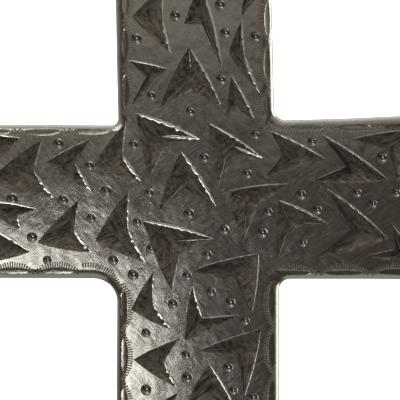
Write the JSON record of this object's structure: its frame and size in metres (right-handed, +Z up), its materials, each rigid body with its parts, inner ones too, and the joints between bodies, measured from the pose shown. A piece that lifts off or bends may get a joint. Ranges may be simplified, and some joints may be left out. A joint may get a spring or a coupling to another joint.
{
  "type": "ceramic wall cross",
  "caption": "Latin cross of burnished black clay to hang on a wall, with knife-cut arrows, pressed dimples and a toothed border, and a blind nail hole in its back.",
  "frame": {"origin": "middle of the nail hole's mouth, on the flat back that lies against the wall", "axes": "+Z up towards the head of the cross, +Y into the wall, +X to the right for someone who faces the burnished front"},
  "size_m": [0.21, 0.018, 0.295],
  "materials": {
    "burnished_black_clay": "burnished and smoke-fired, satin, with matt knife cuts"
  },
  "bodies": {
    "root": {"clay_cross": "burnished_black_clay"}
  },
  "joints": []
}
